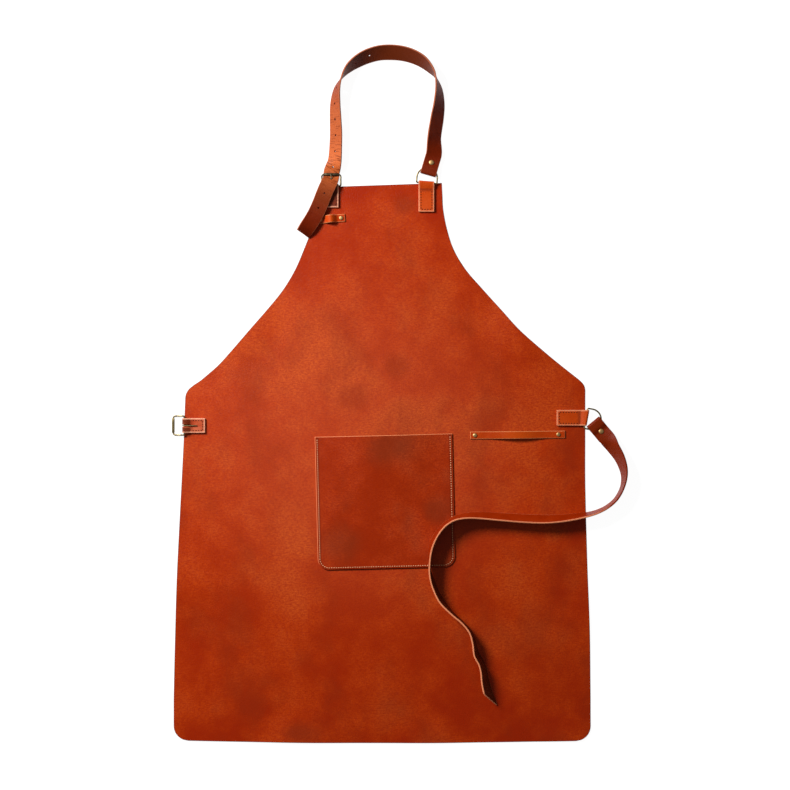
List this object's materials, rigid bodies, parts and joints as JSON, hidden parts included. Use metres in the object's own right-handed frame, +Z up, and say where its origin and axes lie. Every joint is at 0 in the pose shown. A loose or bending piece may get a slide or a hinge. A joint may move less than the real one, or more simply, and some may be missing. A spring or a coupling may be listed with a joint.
{
  "type": "leather apron",
  "caption": "Leather bib apron laid flat: buckled neck strap, stitched front pocket, riveted tool strap and keeper, and a loose waist strap on a D-ring.",
  "frame": {"origin": "on the floor under the middle of the bounding box of the apron as it lies", "axes": "+Z up from the floor, +Y from the hem to the neck strap, +X to the right as the apron lies with its front up"},
  "size_m": [0.6806, 1.0448, 0.0287],
  "materials": {
    "body_leather": "chestnut brown pull-up leather, satin, mottled",
    "pocket_leather": "darker chestnut brown leather, satin",
    "strap_leather": "dark chestnut strap leather with pale cut edges",
    "tab_leather": "lighter tan brown leather with cream stitching",
    "aged_brass": "antique brass, dulled",
    "dark_bronze": "dark bronze, dulled"
  },
  "bodies": {
    "apron": {"apron_body": "body_leather", "pocket": "pocket_leather", "tool_strap": "tab_leather", "strap_keeper": "tab_leather", "neck_ring_tab": "tab_leather", "waist_ring_tab": "tab_leather", "neck_buckle_tab": "tab_leather", "waist_buckle_tab": "tab_leather", "neck_d_ring": "aged_brass", "waist_d_ring": "aged_brass", "neck_buckle_frame": "dark_bronze", "neck_buckle_prong": "dark_bronze", "neck_strap": "strap_leather", "waist_strap": "strap_leather", "neck_strap_rivet": "aged_brass", "waist_strap_rivet": "aged_brass", "tool_rivet_left": "aged_brass", "tool_rivet_right": "aged_brass", "keeper_rivet_left": "aged_brass", "keeper_rivet_right": "aged_brass"},
    "waist_buckle": {"waist_buckle_frame": "aged_brass"},
    "waist_prong": {"waist_buckle_prong": "aged_brass"}
  },
  "joints": [
    {"name": "waist_buckle_swing", "type": "hinge", "parent": "apron", "child": "waist_buckle", "pos_m": [-0.3211, -0.04641, 0.00545], "axis": [0, 1, 0], "range_deg": [-30, 150]},
    {"name": "waist_prong_swing", "type": "hinge", "parent": "apron", "child": "waist_prong", "pos_m": [-0.3211, -0.04641, 0.00545], "axis": [0, 1, 0], "range_deg": [-177, 0]}
  ]
}
